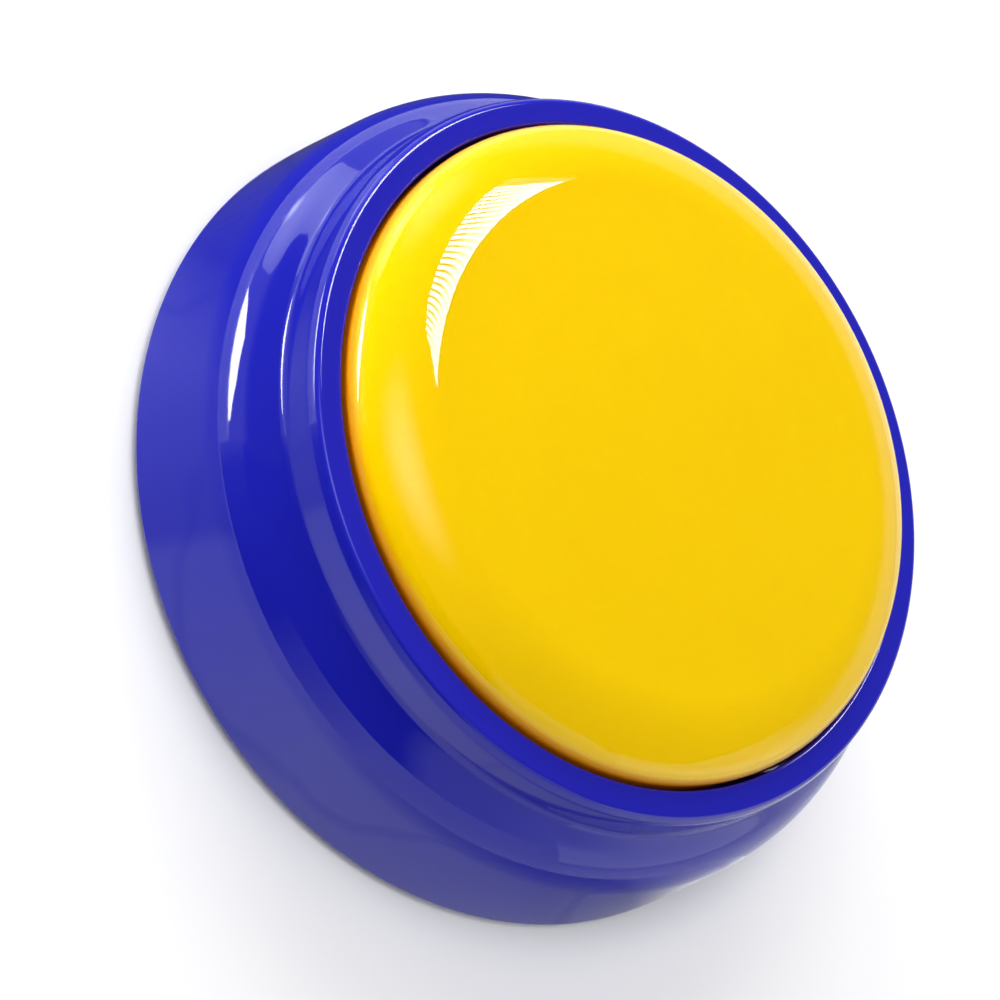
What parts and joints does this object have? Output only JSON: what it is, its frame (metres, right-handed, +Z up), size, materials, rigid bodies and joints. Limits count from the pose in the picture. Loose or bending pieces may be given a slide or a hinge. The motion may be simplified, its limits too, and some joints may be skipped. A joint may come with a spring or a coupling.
{
  "type": "quiz buzzer",
  "caption": "Round push-button quiz buzzer: a wide domed cap that travels into a flared case with a raised bezel, with a speaker, a sound board and a battery bay inside.",
  "frame": {"origin": "middle of the surface that the rubber feet stand on, under the cap's centre", "axes": "+Z up, out of the cap; +X along the battery cells, towards the battery door's screw; +Y towards the speaker"},
  "size_m": [0.0899, 0.0898, 0.0302],
  "materials": {
    "case_shell": "glossy moulded ABS, blue",
    "base_plastic": "semi-gloss moulded ABS, blue",
    "cap_plastic": "glossy moulded ABS, yellow",
    "foot_rubber": "soft black rubber",
    "screw_steel": "zinc-plated steel",
    "spring_steel": "drawn spring wire",
    "silicone": "matt translucent silicone",
    "board_laminate": "green solder mask",
    "chip_epoxy": "black epoxy bead",
    "capacitor_can": "bright aluminium can",
    "resistor_body": "glazed ceramic, black",
    "transistor_body": "moulded epoxy, black",
    "gasket_foam": "closed-cell foam",
    "speaker_steel": "zinc-plated pressed steel",
    "cone_film": "grey plastic film",
    "magnet_steel": "plated magnet cup",
    "fibre_strip": "brown phenolic strip",
    "cell_jacket": "printed shrink film, plain",
    "contact_nickel": "nickel-plated spring steel",
    "switch_steel": "tinned steel can",
    "switch_knob": "black nylon",
    "pin_brass": "tinned brass",
    "lead_red": "PVC-insulated wire, red",
    "lead_black": "PVC-insulated wire, black"
  },
  "bodies": {
    "case": {"top_case": "case_shell", "bottom_case": "base_plastic", "rubber_feet": "foot_rubber", "case_screws": "screw_steel", "return_springs": "spring_steel", "contact_dome": "silicone", "circuit_board": "board_laminate", "board_screws": "screw_steel", "sound_chip": "chip_epoxy", "board_capacitor": "capacitor_can", "chip_resistors": "resistor_body", "drive_transistor": "transistor_body", "speaker_gasket": "gasket_foam", "speaker_frame": "speaker_steel", "speaker_cone": "cone_film", "speaker_magnet": "magnet_steel", "speaker_terminal": "fibre_strip", "speaker_screws": "screw_steel", "battery_cell_1": "cell_jacket", "battery_cell_2": "cell_jacket", "positive_contact": "contact_nickel", "negative_contact": "contact_nickel", "bridge_contact": "contact_nickel", "contact_coils": "contact_nickel", "switch_housing": "switch_steel", "switch_pins": "pin_brass", "battery_lead_red": "lead_red", "battery_lead_black": "lead_black", "switch_lead": "lead_red", "speaker_lead_red": "lead_red", "speaker_lead_black": "lead_black"},
    "cap": {"push_cap": "cap_plastic"},
    "door": {"battery_door": "base_plastic", "battery_door_screw": "screw_steel"},
    "switch_knob": {"switch_slider": "switch_knob"}
  },
  "joints": [
    {"name": "cap_press", "type": "slide", "parent": "case", "child": "cap", "axis": [0, 0, -1], "range_m": [0, 0.003], "stiffness_N_per_m": 600, "springref_m": -0.004, "deforming": ["return_springs", "contact_dome"]},
    {"name": "battery_door_swing", "type": "hinge", "parent": "case", "child": "door", "pos_m": [-0.0276, -0.0015, 0.001], "axis": [0, 1, 0], "range_deg": [0, 60]},
    {"name": "power_switch_slide", "type": "slide", "parent": "case", "child": "switch_knob", "axis": [1, 0, 0], "range_m": [0, 0.002]}
  ]
}
